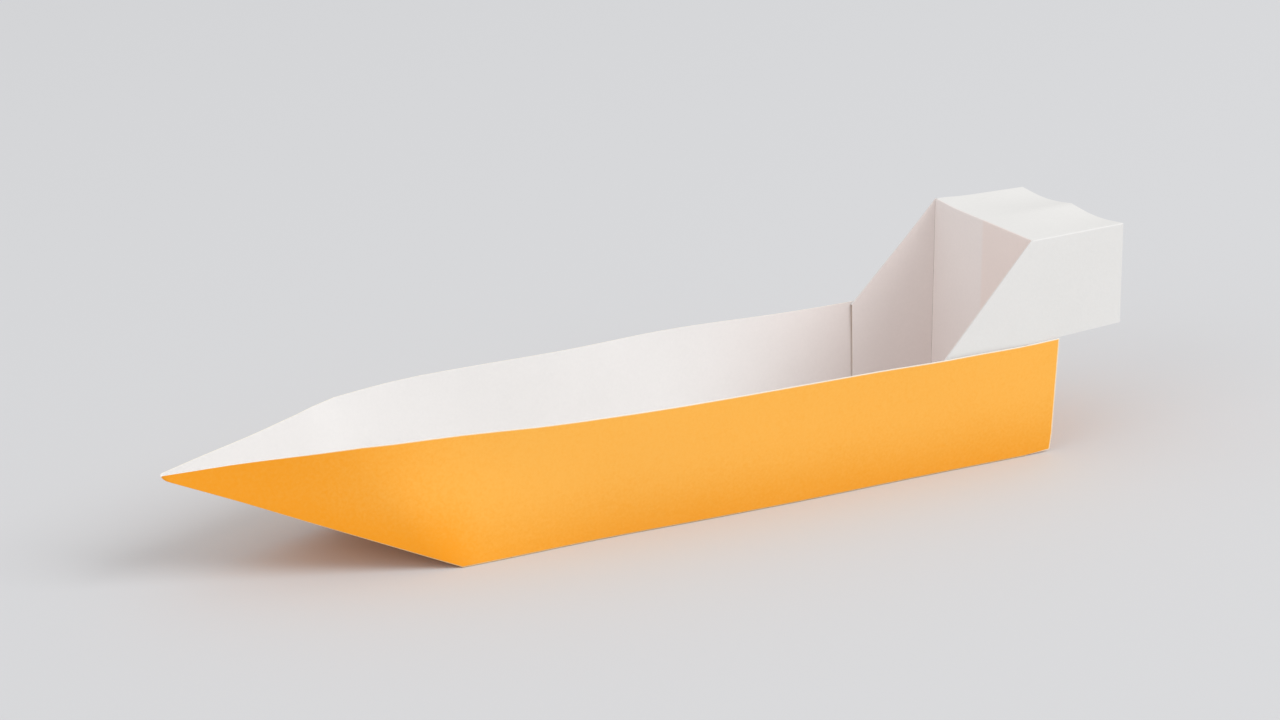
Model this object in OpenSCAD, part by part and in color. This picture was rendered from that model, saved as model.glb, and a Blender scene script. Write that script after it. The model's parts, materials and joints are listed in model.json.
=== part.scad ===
// Paper boat folded from one strip: a flat-bottomed hull with a raked bow and a hood over the stern.
// The strip is orange on one face and white on the other, and the white face is inside the hull.
// Frame: +Z up, bow towards -X, port side towards -Y, origin under the middle of the overall length.

/* [Paper] */
// Thickness of the paper
paper_t = 0.25; // [0.2:0.05:0.5]

/* [Hull] */
// Width of the flat bottom between its two long folds
bottom_w = 45; // [36:1:60]
// Height of a side wall, measured up its slope
wall_h = 30; // [24:1:36]
// Length from the stern edge of the walls to the fold where the bottom turns up
keel_l = 157; // [150:1:170]
// Length from the stern edge of the walls to the bow tip
hull_l = 218; // [210:1:250]
// Height of the bow tip
tip_z = 25.5; // [20:0.5:28]
// Width across the blunt bow tip
tip_w = 0.8; // [0.6:0.1:1.6]

/* [Gunwale] */
// How far the top of a wall stands out past its long fold at the stern
stern_flare = 1.6; // [0.8:0.1:3]
// How far it stands out halfway to the shoulder
belly_flare = 3; // [1.5:0.1:6]
// How far it stands out at the shoulder, where the wall starts to turn in
shoulder_flare = 1.1; // [0:0.1:3]
// Length from the stern edge to the shoulder
shoulder_l = 125; // [110:1:135]
// Angle of one wall's straight run to the bow tip, seen from above
bow_angle = 19.4; // [17:0.1:21]
// Length of that straight run, along the boat
bow_run_l = 41; // [35:1:48]
// How far the top of a wall has come down where that run starts
run_drop = 0.5; // [0:0.1:2]

/* [Hood] */
// Distance of the transom from the stern edge of the walls
transom_inset = 7; // [4:0.5:16]
// Clearance between the hood and each wall, at the bottom
hood_gap = 1.2; // [0.8:0.1:2]
// Height of the hood above the walls
hood_h = 24.2; // [18:0.1:30]
// How far the flaps reach forward from the transom
flap_l = 23.5; // [18:0.1:30]
// How far the front of an outer flap reaches down behind the top of the wall
flap_tuck = 1.2; // [0:0.1:3]
// How far the flaps spring outwards at the lower end of the fold between them
flap_spread = 1.6; // [0.2:0.1:1.8]
// How far an inner flap springs outwards at its foot
foot_spread = 0.6; // [0.2:0.1:0.7]
// Clearance between the bottom and the lower edge of an inner flap
flap_lift = 0.4; // [0.3:0.1:2]
// Length of the roof
roof_l = 26.5; // [20:0.5:40]
// Sag of each half of the roof at its rear edge
roof_sag = 1.1; // [0:0.1:2]
// How far the ridge between the halves rises towards the rear edge
ridge_lift = 1; // [0:0.1:2]

/* [Hidden] */
// Steps along each curved stretch of the gunwale, and across and along each half of the roof
side_steps = 14;
bend_steps = 10;
roof_steps = 8;
roof_rows = 5;
// How far a cut runs past what it cuts
cut_past = 1;

half_bottom = bottom_w / 2;
hood_w = bottom_w - 2 * hood_gap;
overhang = roof_l - transom_inset;
stern_x = (hull_l - overhang) / 2;
transom_x = stern_x - transom_inset;
wall_z = sqrt(wall_h * wall_h - stern_flare * stern_flare);
transom_h = wall_z + hood_h;

// Gunwale as seen from above, as [length from the stern edge, half-width]; its two runs would meet at meet_l
stern_end = [0, half_bottom + stern_flare];
shoulder = [shoulder_l, half_bottom + shoulder_flare];
belly = [shoulder_l / 2, 2 * (half_bottom + belly_flare) - (stern_end.y + shoulder.y) / 2];
shoulder_slope = (shoulder.y - belly.y) / (shoulder.x - belly.x);
bow_slope = tan(bow_angle);
meet_l = hull_l + tip_w / 2 / bow_slope;
bend_l = (bow_slope * meet_l - shoulder.y + shoulder_slope * shoulder_l) / (bow_slope + shoulder_slope);
bend = [bend_l, bow_slope * (meet_l - bend_l)];
run_start = [hull_l - bow_run_l, bow_slope * (meet_l - hull_l + bow_run_l)];

// Point at t on the curve that leaves a towards b and arrives at c
function curve(a, b, c, t) = (1 - t) * (1 - t) * a + 2 * t * (1 - t) * b + t * t * c;

// Height that keeps a wall's slope length where its top stands out by flare
function leaning_z(flare) = sqrt(wall_h * wall_h - flare * flare);

// Section of the folded channel as its two face lines, inner and outer, from port to starboard:
// the long folds lie at fold_l and the tops of the walls at top_l, both from the stern edge
function channel_section(fold_l, half_fold, fold_z, top_l, half_top, top_z, wall = paper_t) =
    let(fx = stern_x - fold_l, tx = stern_x - top_l)
    [
        for (in = [wall, 0])
        [
            [tx, in - half_top, top_z],
            [fx, in - half_fold, fold_z + in],
            [fx, half_fold - in, fold_z + in],
            [tx, half_top - in, top_z]
        ]
    ];

// Sections along the side, where the long folds are straight and the walls bulge
side_sections = [
    for (i = [0 : side_steps])
    let(p = curve(stern_end, belly, shoulder, i / side_steps))
    channel_section(p.x, half_bottom, 0, p.x, p.y, leaning_z(p.y - half_bottom))
];

// Sections where the walls turn in, fanning from the shoulder to the end of the flat bottom
bend_sections = [
    for (i = [1 : bend_steps])
    let(
        t = i / bend_steps,
        p = curve(shoulder, bend, run_start, t),
        fold_l = shoulder_l + t * (keel_l - shoulder_l),
        z = curve([leaning_z(shoulder_flare)], [wall_z], [wall_z - run_drop], t)[0]
    )
    channel_section(fold_l, half_bottom, 0, p.x, p.y, z)
];

// Section at the blunt tip, where the two walls close on each other
tip_section = channel_section(hull_l, tip_w / 2, tip_z - tip_w / 2, hull_l, tip_w / 2, tip_z, tip_w / 3);

// Sheet through rows of points that run towards the bow, each row as the lines of its two faces
module sheet(rows) {
    n = len(rows[0][0]);
    last = len(rows) - 1;
    function face(r, k) = r * 2 * n + k;
    function back(r, k) = face(r, k) + n;
    function quad(a, b, c, d) = [[a, b, c], [a, c, d]];
    sides = [
        for (r = [0 : last - 1], k = [0 : n - 2])
        each concat(
            quad(face(r, k), face(r + 1, k), face(r + 1, k + 1), face(r, k + 1)),
            quad(back(r, k), back(r, k + 1), back(r + 1, k + 1), back(r + 1, k))
        )
    ];
    long_edges = [
        for (r = [0 : last - 1])
        each concat(
            quad(face(r, 0), back(r, 0), back(r + 1, 0), face(r + 1, 0)),
            quad(face(r, n - 1), face(r + 1, n - 1), back(r + 1, n - 1), back(r, n - 1))
        )
    ];
    end_edges = [
        for (k = [0 : n - 2])
        each concat(
            quad(face(0, k), face(0, k + 1), back(0, k + 1), back(0, k)),
            quad(face(last, k), back(last, k), back(last, k + 1), face(last, k + 1))
        )
    ];
    polyhedron([for (row = rows) each concat(row[0], row[1])], concat(sides, long_edges, end_edges));
}

// Bottom and walls, with the bottom cut away between the free ends of the walls behind the transom
module hull_channel() {
    difference() {
        sheet(concat(side_sections, bend_sections, [tip_section]));
        translate([transom_x + paper_t, paper_t - half_bottom, -cut_past])
            cube([transom_inset + cut_past, bottom_w - 2 * paper_t, wall_h / 2]);
    }
}

// Upright panel that the bottom turns into
module transom() {
    translate([transom_x, -hood_w / 2, 0])
        cube([paper_t, hood_w, transom_h]);
}

// Section across the roof as its two face lines, at a share of its length from the transom
function roof_section(share) =
    let(x = transom_x + share * roof_l, sag = roof_sag * pow(share, 1.5), lift = ridge_lift * share)
    [
        for (in = [0, paper_t])
        [
            for (i = [-roof_steps : roof_steps])
            let(across = i / roof_steps, out = abs(across))
            [x, across * hood_w / 2, transom_h - in - sag * sin(180 * out) + lift * (1 - out)]
        ]
    ];

// Roof that the transom turns into, with a ridge along the middle and a sagging half on each side
module roof() {
    sheet([for (i = [roof_rows : -1 : 0]) roof_section(i / roof_rows)]);
}

// Flap between its rear and front edges, each given by its lower and upper points
module flap(rear, front) {
    sheet([
        for (edge = [rear, front])
        [for (out = [-1, 1]) [for (p = edge) p + [0, out * paper_t / 2, 0]]]
    ]);
}

// Flap at the transom's side edge, standing inside the wall up to the sloping fold
module inner_flap() {
    rear_x = transom_x + paper_t;
    front_x = transom_x - flap_l;
    y = hood_w / 2 - paper_t / 2;
    foot_z = paper_t + flap_lift;
    flap(
        [[rear_x, y, foot_z], [rear_x, y, transom_h]],
        [[front_x, y + foot_spread, foot_z], [front_x, y + flap_spread, wall_z - flap_tuck]]
    );
}

// Flap at the roof's side edge, which comes over the sloping fold and hangs outside the inner flap
module outer_flap() {
    rear_x = transom_x + roof_l;
    y = hood_w / 2;
    flap(
        [[rear_x, y + flap_spread, wall_z], [rear_x, y, transom_h]],
        [[transom_x - flap_l, y + flap_spread, wall_z - flap_tuck], [transom_x, y, transom_h]]
    );
}

// Transom, roof and the two pairs of side flaps
module stern_hood() {
    transom();
    roof();
    for (side = [0, 1])
        mirror([0, side, 0]) {
            inner_flap();
            outer_flap();
        }
}

// The whole folded strip
module paper_boat() {
    union() {
        color("orange") hull_channel();
        color("white") stern_hood();
    }
}

paper_boat();
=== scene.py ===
"""Paper boat folded from one strip of two-coloured paper, with its stage."""
import json
import math
from typing import NamedTuple

import bmesh
import bpy
from mathutils import Matrix, Vector

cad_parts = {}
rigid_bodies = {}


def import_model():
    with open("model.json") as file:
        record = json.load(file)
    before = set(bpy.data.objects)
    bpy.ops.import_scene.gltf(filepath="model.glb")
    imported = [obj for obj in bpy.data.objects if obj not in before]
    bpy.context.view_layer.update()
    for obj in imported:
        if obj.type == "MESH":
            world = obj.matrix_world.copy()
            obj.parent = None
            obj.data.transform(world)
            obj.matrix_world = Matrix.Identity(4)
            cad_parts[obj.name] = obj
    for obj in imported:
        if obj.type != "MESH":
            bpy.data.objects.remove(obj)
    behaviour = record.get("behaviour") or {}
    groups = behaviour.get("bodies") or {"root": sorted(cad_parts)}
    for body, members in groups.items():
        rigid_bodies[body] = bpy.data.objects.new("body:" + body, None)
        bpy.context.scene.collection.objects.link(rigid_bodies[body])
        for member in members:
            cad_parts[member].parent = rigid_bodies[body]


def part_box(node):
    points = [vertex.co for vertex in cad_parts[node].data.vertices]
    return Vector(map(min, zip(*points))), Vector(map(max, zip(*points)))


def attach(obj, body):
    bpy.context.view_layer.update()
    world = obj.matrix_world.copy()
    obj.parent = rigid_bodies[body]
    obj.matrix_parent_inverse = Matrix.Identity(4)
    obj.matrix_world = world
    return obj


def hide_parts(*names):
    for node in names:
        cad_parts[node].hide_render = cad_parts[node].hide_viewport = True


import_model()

bl_info = {
    "name": "Paper Boat",
    "version": (1, 0, 0),
    "blender": (4, 5, 0),
    "location": "View3D > Sidebar > Paper Boat",
    "description": "Folds a paper boat from one strip of two-coloured paper and sets its stage",
    "category": "Add Mesh",
}

BOAT_NODE = "paper_boat"
LOW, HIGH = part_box(BOAT_NODE)
MM = 0.001
# Distance within which two places count as one, and a step that takes new points clear of the boat
NEAR = 0.05 * MM
APART = Vector((0, 0, 1))
PORT, STARBOARD = -1, 1
SIDES = (PORT, STARBOARD)

# Rows of faces along the bottom, across it and up a wall
BOTTOM_ROWS, ACROSS_ROWS, WALL_ROWS = 30, 20, 6
# Rings of edges from the end of the bottom to the nose, and round the nose
BOW_RINGS, NOSE_RINGS = 9, 8
# Rows of faces up the transom, along the roof and across a flap
TRANSOM_ROWS, ROOF_ROWS, FLAP_ROWS = 8, 8, 6
# Rows of faces round a fold
FOLD_ROWS = 3

# Soft bulges and dents of the tops of the walls: side, length from the stern edge,
# outward and upward push, and reach
GUNWALE_PUSHES = (
    (PORT, 7 * MM, 0, -0.65 * MM, 20 * MM),
    (PORT, 26 * MM, 0, -0.5 * MM, 29 * MM),
    (PORT, 105 * MM, 0.7 * MM, 0, 40 * MM),
    (PORT, 151 * MM, -1.5 * MM, 0, 24 * MM),
    (PORT, 203 * MM, -0.9 * MM, 0, 22 * MM),
    (STARBOARD, 40 * MM, -1.6 * MM, 0, 40 * MM),
    (STARBOARD, 78 * MM, 0.5 * MM, 0, 30 * MM),
    (STARBOARD, 113 * MM, -1.2 * MM, 0, 30 * MM),
    (STARBOARD, 149 * MM, 1.5 * MM, 0, 24 * MM),
    (STARBOARD, 169 * MM, 1.2 * MM, 0, 12 * MM),
    (STARBOARD, 200 * MM, -0.8 * MM, 0, 22 * MM),
)

# The same for the long folds at the bottom, without an upward push
FOLD_PUSHES = (
    (PORT, 70 * MM, 0.45 * MM, 40 * MM),
    (PORT, 122 * MM, -0.55 * MM, 32 * MM),
)


class FlapFold(NamedTuple):
    """How the flaps of one side came out, in metres."""
    # Length of the flaps forward of the transom, and drop of the fold between them over that length
    reach: float
    drop: float
    # How far the inner flap springs out at its foot and at that fold
    foot_out: float
    top_out: float
    # How far the outer flap springs out at its front and rear
    front_out: float
    rear_out: float
    # Drop of the outer flap at its rear, and how far it falls short of the roof there
    rear_drop: float
    rear_short: float
    # Shift of the outer flap's front corner at the roof
    corner: tuple


FLAP_FOLDS = {
    PORT: FlapFold(
        reach=26.6 * MM, drop=26.2 * MM, foot_out=1.0 * MM, top_out=2.7 * MM, front_out=2.75 * MM,
        rear_out=1.75 * MM, rear_drop=23.35 * MM, rear_short=1.0 * MM, corner=(0, 0, 0.1 * MM)),
    STARBOARD: FlapFold(
        reach=22.6 * MM, drop=24.7 * MM, foot_out=1.0 * MM, top_out=2.2 * MM, front_out=2.3 * MM,
        rear_out=1.5 * MM, rear_drop=24 * MM, rear_short=0.8 * MM, corner=(0.2 * MM, -0.1 * MM, 0.05 * MM)),
}

# Lift of the hood's front corner on each side, how far it reaches and how it falls off
FRONT_LIFTS = {PORT: (0.35 * MM, 36 * MM, "LINEAR"), STARBOARD: (0.4 * MM, 10 * MM, "SMOOTH")}

# Drop of the stem a little behind the nose: distance from the tip, drop and reach
STEM_DROP = (6 * MM, 0.2 * MM, 16 * MM)

# Rise of the roof's rear corners, and of its ridge at the rear edge
CORNER_RISES = {PORT: 1 * MM, STARBOARD: -0.2 * MM}
RIDGE_RISE = 0.73 * MM

# Squareness of the nose's rounding, and size of its last ring against its first
NOSE_SQUARENESS = 8
NOSE_LAST_RING = 0.02

# How far the lower corner of a wall's free end is cut back, and up, and where that end starts on the
# rounding of its long fold, as a share of the rounding's width
TAB_CORNER_CUT = 0.3 * MM
TAB_START = 0.4

# How far the roof's side edges may rise or sag, and how far inside the hood's side they may lie
ROOF_EDGE_RISE = 2 * MM
ROOF_EDGE_SLACK = 0.3 * MM

# Edges that bend by more than this stay sharp
SHARP_ANGLE = math.radians(40)

# Painted shade on an inner flap's front edge, which stands in a dark corner against the wall, as a share of
# that at the bottom of a sharp valley fold
FLAP_EDGE_SHADE = 0.4

# Where the white face takes a painted warm glow of light through the orange paper along the boat and where
# the transom begins, both aft of the middle, and over which heights and how far to port of the middle the
# painted glow and shade on the transom come in
STERN_GLOW_FROM, STERN_GLOW_TO = 15 * MM, 85 * MM
TRANSOM_FROM, TRANSOM_TO = 89 * MM, 92 * MM
GLOW_LOW, GLOW_HIGH = 24 * MM, 34 * MM
GLOW_SIDE = 1.5 * MM

# Where painted shade darkens the orange face: lengths forward of the middle at the bow and at its foot,
# and heights
BOW_FROM, BOW_TO = 38 * MM, 104 * MM
FOOT_FROM, FOOT_TO = 52 * MM, 62 * MM
LOW_FROM, LOW_TO = -4 * MM, 20 * MM

# Shares of that painted shade at the bow, at its foot and low down, and the amount of painted shade and
# speckle at which the darker orange starts to show and is full
BOW_SHARE, FOOT_SHARE, LOW_SHARE = 0.9, 0.75, 0.9
SHADE_FROM, SHADE_TO = -0.15, 1.15

# Shares of the painted glow and shade on the transom, the clouds' shade, the speckle in the orange, the
# rubbed paleness and painted highlight along a fold and the pale line along a cut edge
GLOW_SHARE, CLOUD_SHARE, SPECKLE_SHARE, WEAR_HIGHLIGHT_SHARE, CUT_SHARE = 0.8, 0.03, 0.8, 0.9, 0.8

# Sizes of the clouds and fibres that show in the white face and in the orange one, and of the fibres in
# a cut edge
WHITE_CLOUDS, WHITE_FIBRES = 22 * MM, 0.8 * MM
ORANGE_CLOUDS, ORANGE_FIBRES = 30 * MM, 0.7 * MM
EDGE_FIBRES = 0.5 * MM

# Size of the fibres in the paper's grain, depth of the grain in each face, and its strength
GRAIN_FIBRES = 0.7 * MM
WHITE_GRAIN, ORANGE_GRAIN = 0.05 * MM, 0.06 * MM
GRAIN_STRENGTH = 0.35

# Numbers of a Mix node's sockets for colours: first and second input, and output
MIX_FIRST, MIX_SECOND, MIX_RESULT = 6, 7, 2

# Soft lamps: name, direction and height they shine from in degrees, and light as a share of white
LAMPS = (("key", 48, 40, 0.55), ("fill", -70, 25, 0.13))
# Distance and size of a lamp, and size of the floor, in metres
LAMP_DISTANCE, LAMP_SIZE = 5, 3
FLOOR_SIZE = 12

# Point the camera turns about, forward of the hood's rear edge and above the floor
TURN_FORWARD, TURN_HEIGHT = 119.5 * MM, 20 * MM
# Width of the picture that the camera's lens is given for, in millimetres, and its depth of view in metres
PICTURE_WIDTH = 36
VIEW_FROM, VIEW_TO = 0.01, 50


def length(name, description, default):
    """Property for a size in metres."""
    return bpy.props.FloatProperty(name=name, description=description, default=default, unit="LENGTH",
                                   precision=5)


def colour(name, description, default):
    """Property for a colour, as the shaders take it."""
    return bpy.props.FloatVectorProperty(name=name, description=description, default=default, subtype="COLOR",
                                         size=4, min=0, max=1)


class BoatSizes(bpy.types.PropertyGroup):
    """Sizes of the folded strip."""
    paper: length("Paper", "Thickness of the paper", 0.25 * MM)
    fold_radius: length("Fold", "Width of the rounding along a fold of the hull", 0.5 * MM)
    crisp_radius: length("Crisp Fold", "Width of the rounding along a fold of the hood", 0.2 * MM)
    bottom_width: length("Bottom", "Width of the flat bottom between its long folds", 45 * MM)
    wall_height: length("Wall", "Height of a side wall, measured up its slope", 30 * MM)
    keel_length: length("Keel", "Length from the stern edge to the end of the flat bottom", 157 * MM)
    hull_length: length("Hull", "Length from the stern edge to the bow tip", 218 * MM)
    tip_height: length("Tip", "Height of the bow tip", 25.4 * MM)
    nose_share: bpy.props.FloatProperty(name="Nose", default=0.07, subtype="FACTOR",
                                        description="Size of the nose against the foot of the bow")
    nose_cut: length("Nose Cut", "How far the nose stops short of where the lines of the bow meet", 1.9 * MM)
    stern_flare: length("Stern Flare", "How far a wall's top stands out at the stern", 1.6 * MM)
    belly_flare: length("Belly Flare", "How far it stands out halfway to the shoulder", 3 * MM)
    shoulder_flare: length("Shoulder Flare", "How far it stands out at the shoulder", 1.1 * MM)
    shoulder_length: length("Shoulder", "Length from the stern edge to the shoulder", 125 * MM)
    bow_run: length("Bow Run", "Length of a wall's straight run to the tip", 41 * MM)
    run_drop: length("Run Drop", "How far a wall's top has come down where that run starts", 0.5 * MM)
    bow_angle: bpy.props.FloatProperty(name="Bow Angle", description="Angle of that run, seen from above",
                                       default=math.radians(19.07), subtype="ANGLE")
    transom_inset: length("Transom Inset", "Distance of the transom from the stern edge", 7 * MM)
    hood_gap: length("Hood Gap", "Clearance between the hood and each wall", 1.2 * MM)
    hood_skew: length("Hood Skew", "How much more clearance there is on the starboard side", 0.4 * MM)
    hood_height: length("Hood Height", "Height of the hood above the walls", 24.2 * MM)
    layer_gap: length("Layer Gap", "How far an outer flap stands off the inner one at their fold", 0.3 * MM)
    flap_lift: length("Flap Lift", "Clearance under the free corner of an inner flap", 0.6 * MM)
    roof_sag: length("Roof Sag", "Sag of each half of the roof at its rear edge", 0.9 * MM)


class BoatColours(bpy.types.PropertyGroup):
    """Colours of the paper."""
    orange: colour("Orange", "Outer face of the paper", (1, 0.488, 0.076, 1))
    # Painted shade: the outer face is darker near the bottom, where less light reaches the wall
    low_shade_orange: colour("Low Orange", "Outer face near the bottom", (0.9, 0.365, 0.018, 1))
    # Painted shade: the bow and its foot face away from the light and miss the sheen of the middle of the
    # wall
    bow_shade_orange: colour("Shaded Bow Orange", "Outer face at the bow", (0.98, 0.36, 0.008, 1))
    # Rubbed paler along a fold, plus a painted highlight where the fold's rounding catches the light
    worn_highlight_orange: colour("Worn Highlight Orange", "Outer face where a fold has worn it", (1, 0.72, 0.36, 1))
    white: colour("White", "Inner face of the paper inside the hull", (0.85, 0.835, 0.825, 1))
    # Painted light: a warm glow of light shining through the orange paper into the shaded stern
    stern_glow_white: colour("Stern Glow White", "Inner face in the stern, where the outer colour glows through",
                       (0.86, 0.785, 0.76, 1))
    # Painted shade from the port flaps on the transom's port half, with a painted glow of light through the
    # paper
    transom_glow_shade_white: colour("Transom Glow Shade White", "Inner face of the transom, where the glow is strongest",
                       (0.86, 0.74, 0.695, 1))
    # Painted shade: a darker copy of the same white paper for the outside of the hood
    hood_shade_white: colour("Shaded Hood White", "Inner face on the outside of the hood", (0.745, 0.737, 0.722, 1))
    # Painted shade at the bottom of a sharp valley fold and along an inner flap's front edge
    crease_shade: colour("Crease", "Bottom of a sharp valley fold", (0.42, 0.36, 0.33, 1))
    core: colour("Core", "Cut edge of the paper", (0.95, 0.86, 0.66, 1))


class StageSettings(bpy.types.PropertyGroup):
    """Camera, floor and light."""
    azimuth: bpy.props.FloatProperty(name="Azimuth", description="Direction the camera looks from",
                                     default=math.radians(-27.1), subtype="ANGLE")
    elevation: bpy.props.FloatProperty(name="Elevation", description="Height of the camera above the horizon",
                                       default=math.radians(18.68), subtype="ANGLE")
    roll: bpy.props.FloatProperty(name="Roll", description="Turn of the camera about its line of sight",
                                  default=math.radians(-0.4), subtype="ANGLE")
    distance: length("Distance", "Distance of the camera from the point it turns about", 704.4 * MM)
    right: length("Right", "Shift of the camera to its right", -1.1 * MM)
    up: length("Up", "Shift of the camera upwards", 12.3 * MM)
    lens: bpy.props.FloatProperty(name="Lens", description="Focal length in mm, for a 36 mm wide picture",
                                  default=84.375)
    floor: colour("Floor", "Colour of the floor", (0.62, 0.625, 0.64, 1))
    sky: bpy.props.FloatProperty(name="Sky", description="Even light from all round", default=0.75)


def select(piece, test, kind="VERT"):
    """Selects only the vertices, edges or faces of a piece in edit mode whose vertices all pass the test."""
    bpy.ops.mesh.select_mode(type=kind)
    bpy.ops.mesh.select_all(action="DESELECT")
    mesh = bmesh.from_edit_mesh(piece.data)
    if kind == "VERT":
        found = [v for v in mesh.verts if test(v.co)]
    else:
        parts = mesh.edges if kind == "EDGE" else mesh.faces
        found = [part for part in parts if all(test(v.co) for v in part.verts)]
    if not found:
        raise RuntimeError(f"nothing to select on {piece.name}")
    for part in found:
        part.select_set(True)
    mesh.select_flush_mode()
    bmesh.update_edit_mesh(piece.data)


def at(value, target, slack=NEAR):
    """True where a coordinate is at its target."""
    return abs(value - target) < slack


def pull_edges(offset):
    """Extrudes the selected edges into new faces."""
    bpy.ops.mesh.extrude_edges_move(TRANSFORM_OT_translate={"value": offset})


def pull_panel(piece, rows, place):
    """Extrudes the selected edge into a panel of that many rows; place gives where each point ends."""
    starts = [v.co.copy() for v in bmesh.from_edit_mesh(piece.data).verts if v.select]
    ends = [place(start) for start in starts]
    pull_edges(APART)
    for start, end in zip(starts, ends):
        select(piece, lambda p: (p - start - APART).length < NEAR)
        shift(end - start - APART)
    bpy.ops.mesh.select_mode(type="EDGE")
    bpy.ops.mesh.select_all(action="DESELECT")
    for edge in bmesh.from_edit_mesh(piece.data).edges:
        a, b = (v.co for v in edge.verts)
        edge.select_set(any((a - s).length + (b - e).length < NEAR or (b - s).length + (a - e).length < NEAR
                            for s, e in zip(starts, ends)))
    bmesh.update_edit_mesh(piece.data)
    bpy.ops.mesh.subdivide(number_cuts=rows - 1)


def shift(offset):
    """Moves what is selected."""
    bpy.ops.transform.translate(value=offset)


def shift_softly(offset, reach, falloff="SMOOTH"):
    """Moves what is selected and, less and less, what lies within reach of it."""
    bpy.ops.transform.translate(value=offset, use_proportional_edit=True, proportional_edit_falloff=falloff,
                                proportional_size=reach)


def mark(name, value=1):
    """Sets an attribute of the active mesh on the selected vertices."""
    mesh = bpy.context.object.data
    mesh.attributes.active = mesh.attributes[name]
    bpy.ops.mesh.attribute_set(value_float=value)


def round_fold(radius, name):
    """Rounds the selected fold and marks its middle with an attribute."""
    bpy.ops.mesh.bevel(offset=radius, segments=FOLD_ROWS, affect="EDGES", clamp_overlap=False)
    bpy.ops.mesh.select_mode(type="VERT")
    bpy.ops.mesh.select_less()
    mark(name)


def curve(a, b, c, t):
    """Point at t on the curve that leaves a towards b and arrives at c."""
    return (1 - t) ** 2 * a + 2 * t * (1 - t) * b + t ** 2 * c


class HullLines:
    """Lines of the hull worked out from the sizes."""

    def __init__(self, sizes):
        self.sizes = sizes
        self.half_bottom = sizes.bottom_width / 2
        self.half_hood = {PORT: self.half_bottom - sizes.hood_gap,
                          STARBOARD: self.half_bottom - sizes.hood_gap - sizes.hood_skew}
        # Width of the strips of faces beside the folds, where their roundings have room
        self.support, self.crisp_support = 2 * sizes.fold_radius, 2 * sizes.crisp_radius
        self.stern_x = LOW.x + sizes.hull_length
        self.transom_x = self.stern_x - sizes.transom_inset
        self.keel_x = self.stern_x - sizes.keel_length
        self.tip = Vector((LOW.x - sizes.nose_cut, 0, sizes.tip_height))
        self.stern_end = Vector((0, self.half_bottom + sizes.stern_flare))
        self.shoulder = Vector((sizes.shoulder_length, self.half_bottom + sizes.shoulder_flare))
        belly_out = 2 * (self.half_bottom + sizes.belly_flare) - (self.stern_end.y + self.shoulder.y) / 2
        self.belly = Vector((sizes.shoulder_length / 2, belly_out))
        side_slope = (self.shoulder.y - self.belly.y) / (self.shoulder.x - self.belly.x)
        bow_slope = math.tan(sizes.bow_angle)
        meet_l = sizes.hull_length + sizes.nose_cut
        bend_l = bow_slope * meet_l - self.shoulder.y + side_slope * self.shoulder.x
        bend_l /= bow_slope + side_slope
        self.bend = Vector((bend_l, bow_slope * (meet_l - bend_l)))
        self.run_start = Vector((sizes.hull_length - sizes.bow_run,
                                 bow_slope * (sizes.nose_cut + sizes.bow_run)))
        self.stern_z = self.leaning_height(sizes.stern_flare)
        self.roof_z = self.stern_z + sizes.hood_height - sizes.paper

    def leaning_height(self, flare):
        """Height that keeps a wall's slope length where its top stands out by flare."""
        return math.sqrt(self.sizes.wall_height ** 2 - flare ** 2)

    def gunwale(self, fold_l):
        """Top of the starboard wall over the long fold's point at fold_l from the stern edge."""
        sizes = self.sizes
        if fold_l <= sizes.shoulder_length:
            flat = curve(self.stern_end, self.belly, self.shoulder, fold_l / sizes.shoulder_length)
            height = self.leaning_height(flat.y - self.half_bottom)
        else:
            t = (fold_l - sizes.shoulder_length) / (sizes.keel_length - sizes.shoulder_length)
            flat = curve(self.shoulder, self.bend, self.run_start, t)
            run_z = self.stern_z - sizes.run_drop
            start_z = self.leaning_height(sizes.shoulder_flare)
            height = curve(Vector((start_z, 0)), Vector((self.stern_z, 0)), Vector((run_z, 0)), t).x
        return Vector((self.stern_x - flat.x, flat.y, height))

    def rim(self, side, along):
        """Top of a wall at about that length from the stern edge."""
        sizes = self.sizes
        run_l = sizes.hull_length - sizes.bow_run
        if along <= sizes.shoulder_length:
            place = self.gunwale(along)
        elif along <= run_l:
            share = (along - sizes.shoulder_length) / (run_l - sizes.shoulder_length)
            place = self.gunwale(sizes.shoulder_length
                                 + share * (sizes.keel_length - sizes.shoulder_length))
        else:
            share = (along - run_l) / (sizes.bow_run + sizes.nose_cut)
            place = self.gunwale(sizes.keel_length).lerp(self.tip, share)
        return Vector((place.x, side * place.y, place.z))

    def roof_rear(self, p):
        """Point of the roof's rear edge behind a point of its front edge."""
        side = STARBOARD if p.y > 0 else PORT
        out = abs(p.y) / self.half_hood[side]
        sag = self.sizes.roof_sag * math.sin(math.pi * out)
        rise = (1 - out) * RIDGE_RISE + out * CORNER_RISES[side] - sag
        return Vector((HIGH.x, out * side * self.half_hood[PORT], self.roof_z + rise))


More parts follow.
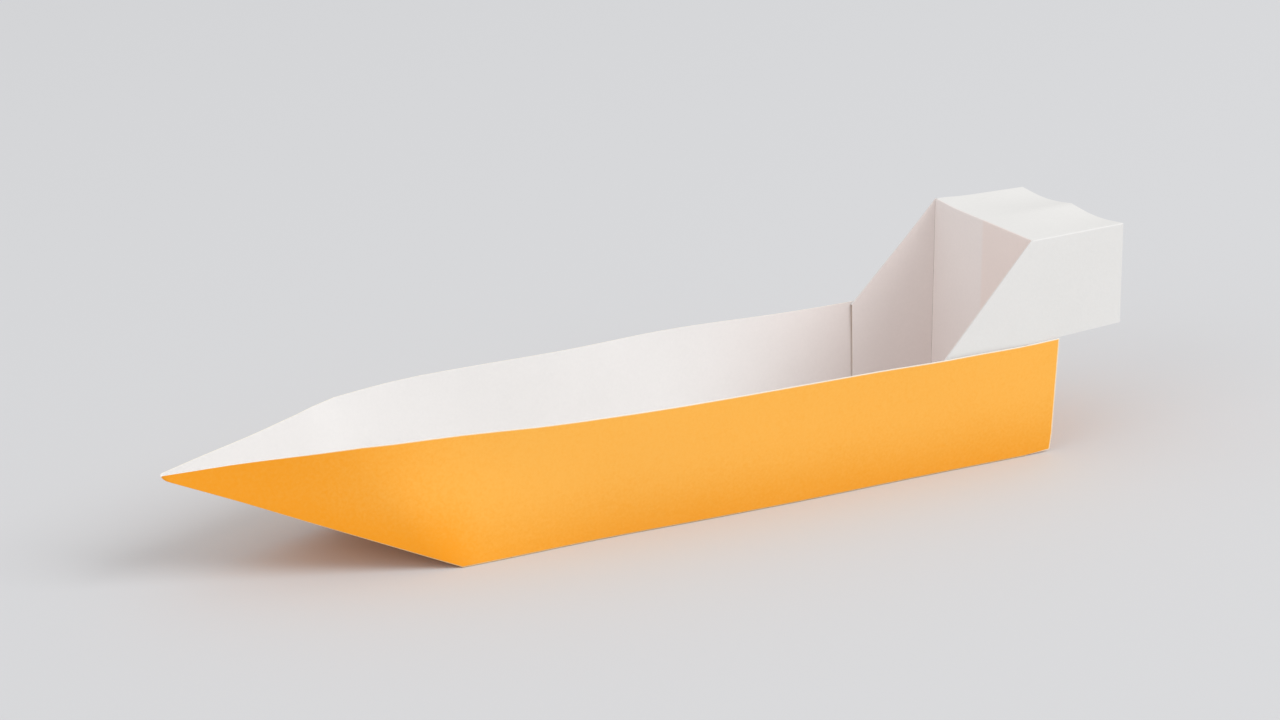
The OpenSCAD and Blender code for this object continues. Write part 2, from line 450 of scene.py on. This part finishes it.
def lay_bottom(lines):
    """Flat bottom from the transom to the foot of the bow, as a new piece in edit mode."""
    bpy.ops.object.select_all(action="DESELECT")
    bpy.ops.mesh.primitive_grid_add(x_subdivisions=BOTTOM_ROWS, y_subdivisions=ACROSS_ROWS, size=1)
    piece = bpy.context.object
    piece.name = piece.data.name = "folded_paper"
    for name in ("fold", "valley", "side_cut", "end_cut", "inside"):
        bpy.ops.geometry.attribute_add(name=name, domain="POINT", data_type="FLOAT")
    bpy.ops.object.mode_set(mode="EDIT")
    bpy.ops.mesh.select_all(action="SELECT")
    mark("inside")
    middle_width = 2 * (min(lines.half_hood.values()) - lines.support)
    bpy.ops.transform.resize(value=(lines.transom_x - lines.keel_x, middle_width, 1))
    shift(((lines.transom_x + lines.keel_x) / 2, 0, 0))
    for side in SIDES:
        for out in (lines.half_hood[side], lines.half_bottom):
            edge_y = max(side * v.co.y for v in bmesh.from_edit_mesh(piece.data).verts) * side
            select(piece, lambda p: at(p.y, edge_y), "EDGE")
            pull_edges((0, side * out - edge_y, 0))
    return piece


def raise_walls(piece, lines):
    """Walls on both long folds, leaning out to the gunwale's line."""
    for side in SIDES:
        def top(foot):
            place = lines.gunwale(lines.stern_x - foot.x)
            return Vector((place.x, side * place.y, place.z))

        select(piece, lambda p: at(p.y, side * lines.half_bottom), "EDGE")
        pull_panel(piece, WALL_ROWS, top)
        select(piece, lambda p: at(p.y, side * lines.half_bottom) and p.z < NEAR, "EDGE")
        # The middle of this fold is rubbed paler and gets a painted highlight on the orange face
        round_fold(lines.sizes.fold_radius, "fold")


def draw_out_bow(piece, lines):
    """Bow drawn from the end of the bottom and walls towards the tip, and closed by a blunt nose."""
    sizes = lines.sizes
    top = lines.gunwale(sizes.keel_length)
    lean = (lines.keel_x - top.x) / top.z
    select(piece, lambda p: at(p.x, lines.keel_x - lean * p.z, 4 * NEAR), "EDGE")
    before = 1
    for ring in range(1, BOW_RINGS + 1):
        left = 1 - (1 - sizes.nose_share) * ring / BOW_RINGS
        pull_edges((0, 0, 0))
        bpy.ops.transform.resize(value=(left / before,) * 3, center_override=lines.tip)
        before = left
    middle = lines.tip.lerp((top + Vector((lines.keel_x, 0, 0))) / 2, sizes.nose_share)
    middle.y = 0
    ahead = lines.tip - middle
    reach = (LOW.x - middle.x) / ahead.x
    before, gone = 1, 0
    for ring in range(1, NOSE_RINGS + 1):
        part = math.sin(math.pi / 2 * ring / NOSE_RINGS)
        left = max((1 - part * reach) * math.sqrt(1 - part ** NOSE_SQUARENESS), NOSE_LAST_RING)
        pull_edges((0, 0, 0))
        bpy.ops.transform.resize(value=(left / before,) * 3, center_override=middle)
        step = (part - gone) * reach * ahead
        shift(step)
        middle += step
        before, gone = left, part
    bpy.ops.mesh.merge(type="CENTER")


def leave_tabs(piece, lines):
    """Free ends of the walls behind the transom."""
    inside = lines.half_bottom - TAB_START * lines.sizes.fold_radius
    select(piece, lambda p: at(p.x, lines.transom_x) and abs(p.y) > inside, "EDGE")
    pull_edges((lines.sizes.transom_inset, 0, 0))
    select(piece, lambda p: at(p.x, lines.stern_x) and p.z < MM)
    shift((-TAB_CORNER_CUT, 0, TAB_CORNER_CUT))


def raise_hood(piece, lines):
    """Transom, roof and the two pairs of side flaps."""
    support, crisp = lines.support, lines.crisp_support
    x, roof_z = lines.transom_x, lines.roof_z
    port_y, starboard_y = (side * lines.half_hood[side] for side in SIDES)
    select(piece, lambda p: at(p.x, x) and p.z < NEAR and port_y - NEAR < p.y < starboard_y + NEAR,
           "EDGE")
    pull_edges((0, 0, support))
    pull_panel(piece, TRANSOM_ROWS, lambda p: Vector((x, p.y, roof_z - crisp)))
    select(piece, lambda p: at(p.x, x) and at(p.z, roof_z - crisp), "EDGE")
    pull_edges((0, 0, crisp))
    pull_edges((crisp, 0, 0))
    mark("inside", 0)
    pull_panel(piece, ROOF_ROWS, lines.roof_rear)
    for side in SIDES:
        fold_flaps(piece, lines, side)


def fold_flaps(piece, lines, side):
    """Inner flap at the transom's side edge and outer flap at the roof's, joined along their fold."""
    sizes, fold, half = lines.sizes, FLAP_FOLDS[side], lines.half_hood[side]
    support, crisp = lines.support, lines.crisp_support
    x, roof_z = lines.transom_x, lines.roof_z
    inner_corner = Vector((x, side * half, roof_z))
    outer_corner = inner_corner + Vector((0, side * sizes.layer_gap, 0)) + Vector(fold.corner)
    rear_x = HIGH.x - fold.rear_short

    def inner_end(p):
        share = p.z / roof_z
        spread = fold.foot_out + share * (fold.top_out - fold.foot_out)
        height = share * (roof_z - fold.drop) + (1 - share) * sizes.flap_lift
        return Vector((x - fold.reach, side * (half + spread), height))

    def outer_end(p):
        share = (p.x - outer_corner.x) / (HIGH.x - outer_corner.x)
        spread = sizes.layer_gap + share * fold.rear_out + (1 - share) * fold.front_out
        return Vector((share * rear_x + (1 - share) * (x - fold.reach), side * (half + spread),
                       roof_z - share * fold.rear_drop - (1 - share) * fold.drop))

    def on_roof_side(p):
        return at(p.z, roof_z, ROOF_EDGE_RISE) and side * p.y > half - ROOF_EDGE_SLACK

    select(piece, lambda p: at(p.x, x) and at(p.y, side * half) and p.z > support - NEAR, "EDGE")
    pull_panel(piece, FLAP_ROWS, inner_end)
    select(piece, lambda p: at(p.x, x - fold.reach) and side * p.y > half, "EDGE")
    # Painted shade along the inner flap's front edge, in the dark corner against the wall
    mark("valley", FLAP_EDGE_SHADE)
    select(piece, lambda p: on_roof_side(p) and at(p.z, roof_z) and x - NEAR < p.x < x + crisp + NEAR,
           "EDGE")
    bpy.ops.mesh.subdivide()
    select(piece, lambda p: on_roof_side(p) and p.x > x + crisp - NEAR)
    shift((0, side * sizes.layer_gap, 0))
    half_way = x + crisp / 2
    select(piece, lambda p: on_roof_side(p) and at(p.x, half_way))
    shift(outer_corner - Vector((half_way, side * half, roof_z)))
    mark("inside", 0)
    select(piece, lambda p: (on_roof_side(p) and p.x > outer_corner.x - NEAR
                             and (p - inner_corner).length > NEAR), "EDGE")
    pull_panel(piece, FLAP_ROWS, outer_end)
    for row in range(FLAP_ROWS):
        corners = [corner.lerp(end(corner), step / FLAP_ROWS)
                   for corner, end in ((inner_corner, inner_end), (outer_corner, outer_end))
                   for step in (row, row + 1)]
        select(piece, lambda p: min((p - c).length for c in corners) < NEAR)
        bpy.ops.mesh.edge_face_add()


def round_hood_folds(piece, lines):
    """Roundings of the hood's folds, which stop short of the corners where the folds meet."""
    sizes, support, crisp = lines.sizes, lines.support, lines.crisp_support
    x, roof_z = lines.transom_x, lines.roof_z
    middle = min(lines.half_hood.values()) - support
    for z, radius in ((0, sizes.fold_radius), (roof_z, sizes.crisp_radius)):
        select(piece, lambda p: at(p.x, x) and at(p.z, z) and abs(p.y) < middle + NEAR, "EDGE")
        round_fold(radius, "fold")
    for side in SIDES:
        half = lines.half_hood[side]
        select(piece, lambda p: (at(p.x, x) and at(p.y, side * half)
                                 and support - NEAR < p.z < roof_z - crisp + NEAR), "EDGE")
        # The middle of this valley fold gets painted shade on the white face
        round_fold(sizes.crisp_radius, "valley")
        select(piece, lambda p: (side * p.y > half and at(p.z, roof_z, ROOF_EDGE_RISE)
                                 and p.x > x + crisp - NEAR), "EDGE")
        round_fold(sizes.crisp_radius, "fold")


def press(piece, place, offset, reach, falloff="SMOOTH"):
    """Moves the point nearest to a place and, less and less, what lies within reach of it."""
    points = [v.co.copy() for v in bmesh.from_edit_mesh(piece.data).verts]
    nearest = min(points, key=lambda p: (p - place).length)
    select(piece, lambda p: (p - nearest).length < NEAR)
    shift_softly(offset, reach, falloff)


def press_walls(piece, lines):
    """Soft bulges and dents that folding has left in the walls."""
    for side, along, out, rise, reach in GUNWALE_PUSHES:
        press(piece, lines.rim(side, along), (0, side * out, rise), reach)
    for side, along, out, reach in FOLD_PUSHES:
        place = Vector((lines.stern_x - along, side * lines.half_bottom, 0))
        press(piece, place, (0, side * out, 0), reach)
    from_tip, drop, reach = STEM_DROP
    foot = Vector((lines.keel_x, 0, 0))
    place = lines.tip.lerp(foot, from_tip / (lines.tip - foot).length)
    press(piece, place, (0, 0, -drop), reach)


def settle_hood(piece, lines):
    """Lifts of the hood's front corners."""
    for side, (lift, reach, falloff) in FRONT_LIFTS.items():
        corner = Vector((lines.transom_x, side * lines.half_hood[side], lines.roof_z))
        press(piece, corner, (0, 0, lift), reach, falloff)


def mark_cuts(piece):
    """Marks the strip's cut edges, those along the boat apart from those across it."""
    for name, along in (("side_cut", True), ("end_cut", False)):
        bpy.ops.mesh.select_mode(type="EDGE")
        bpy.ops.mesh.select_all(action="DESELECT")
        for edge in bmesh.from_edit_mesh(piece.data).edges:
            a, b = (v.co for v in edge.verts)
            runs_along = abs(a.x - b.x) > (a - b).length / 2
            edge.select_set(edge.is_boundary and runs_along == along)
        bmesh.update_edit_mesh(piece.data)
        mark(name)


def thicken(piece, lines):
    """Gives the sheet its thickness, white on one face and orange on the other, and smooths its panels."""
    bpy.ops.mesh.select_all(action="SELECT")
    shift((0, 0, lines.sizes.paper / 2))
    bpy.ops.mesh.normals_make_consistent(inside=False)
    mesh = bmesh.from_edit_mesh(piece.data)
    bottom = min(mesh.faces, key=lambda f: f.calc_center_median().length)
    if bottom.normal.z < 0:
        bpy.ops.mesh.flip_normals()
    bpy.ops.object.mode_set(mode="OBJECT")
    sheet = piece.modifiers.new("sheet", "SOLIDIFY")
    sheet.thickness = lines.sizes.paper
    sheet.offset = 0
    # The orange face and the cut edge are the second and third of the materials
    sheet.material_offset = 1
    sheet.material_offset_rim = 2
    bpy.ops.object.modifier_apply(modifier=sheet.name)
    bpy.ops.object.shade_smooth_by_angle(angle=SHARP_ANGLE)
    panels = piece.modifiers.new("panels", "WEIGHTED_NORMAL")
    panels.keep_sharp = True
    bpy.ops.object.modifier_apply(modifier=panels.name)


class Wire:
    """Output socket of a node that can stand in a Python expression."""

    def __init__(self, finish, socket):
        self.finish = finish
        self.socket = socket

    def _math(self, operation, first, second):
        return self.finish.node("ShaderNodeMath", {"operation": operation}, {0: first, 1: second})

    def __add__(self, other):
        return self._math("ADD", self, other)

    def __radd__(self, other):
        return self._math("ADD", other, self)

    def __sub__(self, other):
        return self._math("SUBTRACT", self, other)

    def __rsub__(self, other):
        return self._math("SUBTRACT", other, self)

    def __mul__(self, other):
        return self._math("MULTIPLY", self, other)

    def __rmul__(self, other):
        return self._math("MULTIPLY", other, self)


class PaperFinish:
    """Material of one face of the paper, while its nodes are being made."""

    def __init__(self, name):
        self.material = bpy.data.materials.new(name)
        self.material.use_nodes = True
        self.tree = self.material.node_tree
        self.shader = self.tree.nodes["Principled BSDF"]
        self.place = self.node("ShaderNodeTexCoord", output="Object")

    def node(self, kind, settings=None, inputs=None, output=0):
        """Adds a node with its settings and its inputs' values or links, and returns one of its outputs."""
        made = self.tree.nodes.new(kind)
        for key, value in (settings or {}).items():
            setattr(made, key, value)
        for key, value in (inputs or {}).items():
            if isinstance(value, Wire):
                self.tree.links.new(value.socket, made.inputs[key])
            else:
                made.inputs[key].default_value = value
        return Wire(self, made.outputs[output])

    def noise(self, size, detail=2, roughness=0.5):
        """Noise from 0 to 1 with features of about that size."""
        return self.node("ShaderNodeTexNoise", {},
                         {"Vector": self.place, "Scale": 1 / size, "Detail": detail, "Roughness": roughness},
                         "Fac")

    def ease(self, value, low, high):
        """0 below low, 1 above high and a smooth step between them."""
        return self.node("ShaderNodeMapRange", {"interpolation_type": "SMOOTHSTEP"},
                         {"Value": value, "From Min": low, "From Max": high}, "Result")

    def mix(self, share, first, second):
        """Colour that goes from the first to the second as share goes from 0 to 1."""
        return self.node("ShaderNodeMix", {"data_type": "RGBA"},
                         {"Factor": share, MIX_FIRST: first, MIX_SECOND: second}, MIX_RESULT)

    def axis(self, name):
        """One coordinate of the point, in metres."""
        return self.node("ShaderNodeSeparateXYZ", {}, {"Vector": self.place}, name)

    def attribute(self, name):
        """Attribute of the mesh, from 0 to 1."""
        return self.node("ShaderNodeAttribute", {"attribute_name": name}, {}, "Fac")

    def set(self, socket, value):
        """Links or sets one of the shader's own inputs."""
        if isinstance(value, Wire):
            self.tree.links.new(value.socket, self.shader.inputs[socket])
        else:
            self.shader.inputs[socket].default_value = value

    def grain(self, depth):
        """Bump of the paper's fibres."""
        fibres = self.noise(GRAIN_FIBRES, detail=3, roughness=0.6)
        return self.node("ShaderNodeBump", {},
                         {"Strength": GRAIN_STRENGTH, "Distance": depth, "Height": fibres}, "Normal")


def white_face(colours):
    """White inner face: faint clouds and fibres, a painted warm glow of light through the paper and painted
    shade towards the stern, and painted shade on the outside of the hood and in valley folds.
    """
    paint = PaperFinish("white_paper")
    clouds = paint.noise(WHITE_CLOUDS, detail=3)
    fibres = paint.noise(WHITE_FIBRES)
    x, y, z = (paint.axis(name) for name in "XYZ")
    inside = paint.attribute("inside")
    transom = paint.ease(x, TRANSOM_FROM, TRANSOM_TO)
    # Painted shade from the port flaps and painted glow through the paper on the transom's upper port half
    glow = transom * paint.ease(-1 * y, 0, GLOW_SIDE) * paint.ease(z, GLOW_LOW, GLOW_HIGH)
    tone = paint.ease(clouds * 0.6 + fibres * 0.4, 0.3, 0.7)
    # Painted warm glow of light through the orange paper, growing towards the stern
    warm = paint.mix(paint.ease(x, STERN_GLOW_FROM, STERN_GLOW_TO), colours.white, colours.stern_glow_white)
    inner = paint.mix(glow * GLOW_SHARE, warm, colours.transom_glow_shade_white)
    # Painted shade: where inside is 0, on the outside of the hood, the white is a darker copy
    base = paint.mix(inside, colours.hood_shade_white, inner)
    shade = paint.mix(tone * CLOUD_SHARE, base, (0, 0, 0, 1))
    # Painted shade at the bottom of valley folds and along the inner flaps' front edges
    valley = paint.ease(paint.attribute("valley"), 0.65, 0.95)
    paint.set("Base Color", paint.mix(valley, shade, colours.crease_shade))
    paint.set("Roughness", 0.72 + fibres * 0.12)
    paint.set("Specular IOR Level", 0.3)
    paint.set("Normal", paint.grain(WHITE_GRAIN))
    return paint.material


def orange_face(colours):
    """Orange outer face: painted shade low down and at the bow, rubbed paler and with a painted highlight
    along folds, and pale along cut edges.
    """
    paint = PaperFinish("orange_paper")
    clouds = paint.noise(ORANGE_CLOUDS, detail=3)
    fibres = paint.noise(ORANGE_FIBRES)
    x, z = (paint.axis(name) for name in "XZ")
    bow = paint.ease(-1 * x, BOW_FROM, BOW_TO)
    low = 1 - paint.ease(z, LOW_FROM, LOW_TO)
    foot = paint.ease(-1 * x, FOOT_FROM, FOOT_TO) * low
    speckle = (clouds * 0.3 + fibres * 0.7 - 0.5) * SPECKLE_SHARE
    # Painted shade low down, where less light reaches the wall
    lower = paint.ease(low * LOW_SHARE + speckle, SHADE_FROM, SHADE_TO)
    wall = paint.mix(lower, colours.orange, colours.low_shade_orange)
    # Painted shade at the bow and its foot, which face away from the light
    bow_shade = paint.ease(bow * BOW_SHARE + foot * FOOT_SHARE + speckle, SHADE_FROM, SHADE_TO)
    base = paint.mix(bow_shade, wall, colours.bow_shade_orange)
    # Rubbed paler along folds, plus a painted highlight on their roundings
    wear_highlight = paint.ease(paint.attribute("fold") + (fibres - 0.5) * 0.4, 0.35, 0.95)
    worn = paint.mix(wear_highlight * WEAR_HIGHLIGHT_SHARE, base, colours.worn_highlight_orange)
    rough = (fibres - 0.5) * 0.03
    side_cut, end_cut = (paint.ease(paint.attribute(name) + rough, 0.94, 0.99)
                         for name in ("side_cut", "end_cut"))
    paint.set("Base Color", paint.mix((side_cut + end_cut) * CUT_SHARE, worn, colours.core))
    paint.set("Roughness", 0.6 + fibres * 0.15)
    paint.set("Specular IOR Level", 0.3)
    paint.set("Normal", paint.grain(ORANGE_GRAIN))
    return paint.material


def cut_edge(colours):
    """Raw cut edge, where the paper's pale core shows."""
    paint = PaperFinish("cut_paper_edge")
    fibres = paint.noise(EDGE_FIBRES)
    pale = paint.mix(fibres, colours.core, colours.white)
    # Painted shade on the cut edge along an inner flap's front edge
    paint.set("Base Color", paint.mix(paint.attribute("valley"), pale, colours.crease_shade))
    paint.set("Roughness", 0.85)
    paint.set("Specular IOR Level", 0.2)
    return paint.material


class FoldPaperBoat(bpy.types.Operator):
    """Fold the boat from one strip of paper"""
    bl_idname = "mesh.fold_paper_boat"
    bl_label = "Fold Paper Boat"

    def execute(self, context):
        scene = context.scene
        lines = HullLines(scene.boat_sizes)
        piece = lay_bottom(lines)
        raise_walls(piece, lines)
        draw_out_bow(piece, lines)
        leave_tabs(piece, lines)
        press_walls(piece, lines)
        raise_hood(piece, lines)
        round_hood_folds(piece, lines)
        settle_hood(piece, lines)
        mark_cuts(piece)
        for finish in (white_face, orange_face, cut_edge):
            piece.data.materials.append(finish(scene.boat_colours))
        thicken(piece, lines)
        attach(piece, "root")
        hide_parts(BOAT_NODE)
        return {"FINISHED"}


def direction(azimuth, elevation):
    """Direction from the boat towards something that stands at those angles."""
    return Vector((math.sin(azimuth) * math.cos(elevation), -math.cos(azimuth) * math.cos(elevation),
                   math.sin(elevation)))


class SetStage(bpy.types.Operator):
    """Set the floor, the lights and the camera"""
    bl_idname = "scene.set_boat_stage"
    bl_label = "Set Stage"

    def execute(self, context):
        scene = context.scene
        settings = scene.boat_stage
        bpy.ops.object.select_all(action="DESELECT")
        bpy.ops.mesh.primitive_plane_add(size=FLOOR_SIZE)
        floor = context.object
        floor.name = "floor"
        paint = PaperFinish("floor")
        paint.set("Base Color", settings.floor)
        paint.set("Roughness", 1)
        paint.set("Specular IOR Level", 0)
        floor.data.materials.append(paint.material)
        scene.world = scene.world or bpy.data.worlds.new("sky")
        scene.world.use_nodes = True
        sky = scene.world.node_tree.nodes["Background"]
        sky.inputs["Color"].default_value = (1, 1, 1, 1)
        sky.inputs["Strength"].default_value = settings.sky
        for name, azimuth, elevation, light in LAMPS:
            self.add_lamp(name, math.radians(azimuth), math.radians(elevation), light)
        self.set_camera(context, settings)
        scene.view_settings.view_transform = "Standard"
        return {"FINISHED"}

    def add_lamp(self, name, azimuth, elevation, light):
        """Soft square lamp that gives a white surface facing it that share of white."""
        back = direction(azimuth, elevation)
        bpy.ops.object.light_add(type="AREA", location=back * LAMP_DISTANCE)
        lamp = bpy.context.object
        lamp.name = name
        lamp.rotation_euler = (-back).to_track_quat("-Z", "Y").to_euler()
        lamp.data.size = LAMP_SIZE
        lamp.data.energy = light * math.pi ** 2 * LAMP_DISTANCE ** 2

    def set_camera(self, context, settings):
        """Camera at the picture's viewing angle."""
        back = direction(settings.azimuth, settings.elevation)
        right = (-back).cross(Vector((0, 0, 1))).normalized()
        up = right.cross(-back)
        right, up = (math.cos(settings.roll) * right + math.sin(settings.roll) * up,
                     math.cos(settings.roll) * up - math.sin(settings.roll) * right)
        place = Vector((HIGH.x - TURN_FORWARD, 0, TURN_HEIGHT)) + back * settings.distance
        bpy.ops.object.camera_add(location=place + right * settings.right + up * settings.up)
        camera = context.object
        camera.name = "camera"
        camera.rotation_mode = "QUATERNION"
        camera.rotation_quaternion = Matrix((right, up, back)).transposed().to_quaternion()
        camera.data.sensor_width = PICTURE_WIDTH
        camera.data.lens = settings.lens
        camera.data.clip_start = VIEW_FROM
        camera.data.clip_end = VIEW_TO
        context.scene.camera = camera


class BoatPanel(bpy.types.Panel):
    """Lists the steps and sizes of the boat"""
    bl_idname = "VIEW3D_PT_paper_boat"
    bl_label = "Paper Boat"
    bl_space_type = "VIEW_3D"
    bl_region_type = "UI"
    bl_category = "Paper Boat"

    def draw(self, context):
        for step in STEPS:
            self.layout.operator(step.bl_idname)
        for name, group in GROUPS.items():
            box = self.layout.box()
            for key in group.__annotations__:
                box.prop(getattr(context.scene, name), key)


STEPS = (FoldPaperBoat, SetStage)
GROUPS = {"boat_sizes": BoatSizes, "boat_colours": BoatColours, "boat_stage": StageSettings}


def register():
    """Adds the sizes, steps and panel to Blender."""
    for group in GROUPS.values():
        bpy.utils.register_class(group)
    for kind in (*STEPS, BoatPanel):
        bpy.utils.register_class(kind)
    for name, group in GROUPS.items():
        setattr(bpy.types.Scene, name, bpy.props.PointerProperty(type=group))


def unregister():
    """Takes them away again."""
    for name in GROUPS:
        delattr(bpy.types.Scene, name)
    for kind in (BoatPanel, *reversed(STEPS)):
        bpy.utils.unregister_class(kind)
    for group in reversed(GROUPS.values()):
        bpy.utils.unregister_class(group)


def main():
    """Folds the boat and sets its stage."""
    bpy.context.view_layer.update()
    register()
    bpy.ops.mesh.fold_paper_boat()
    bpy.ops.scene.set_boat_stage()


if __name__ == "__main__":
    main()
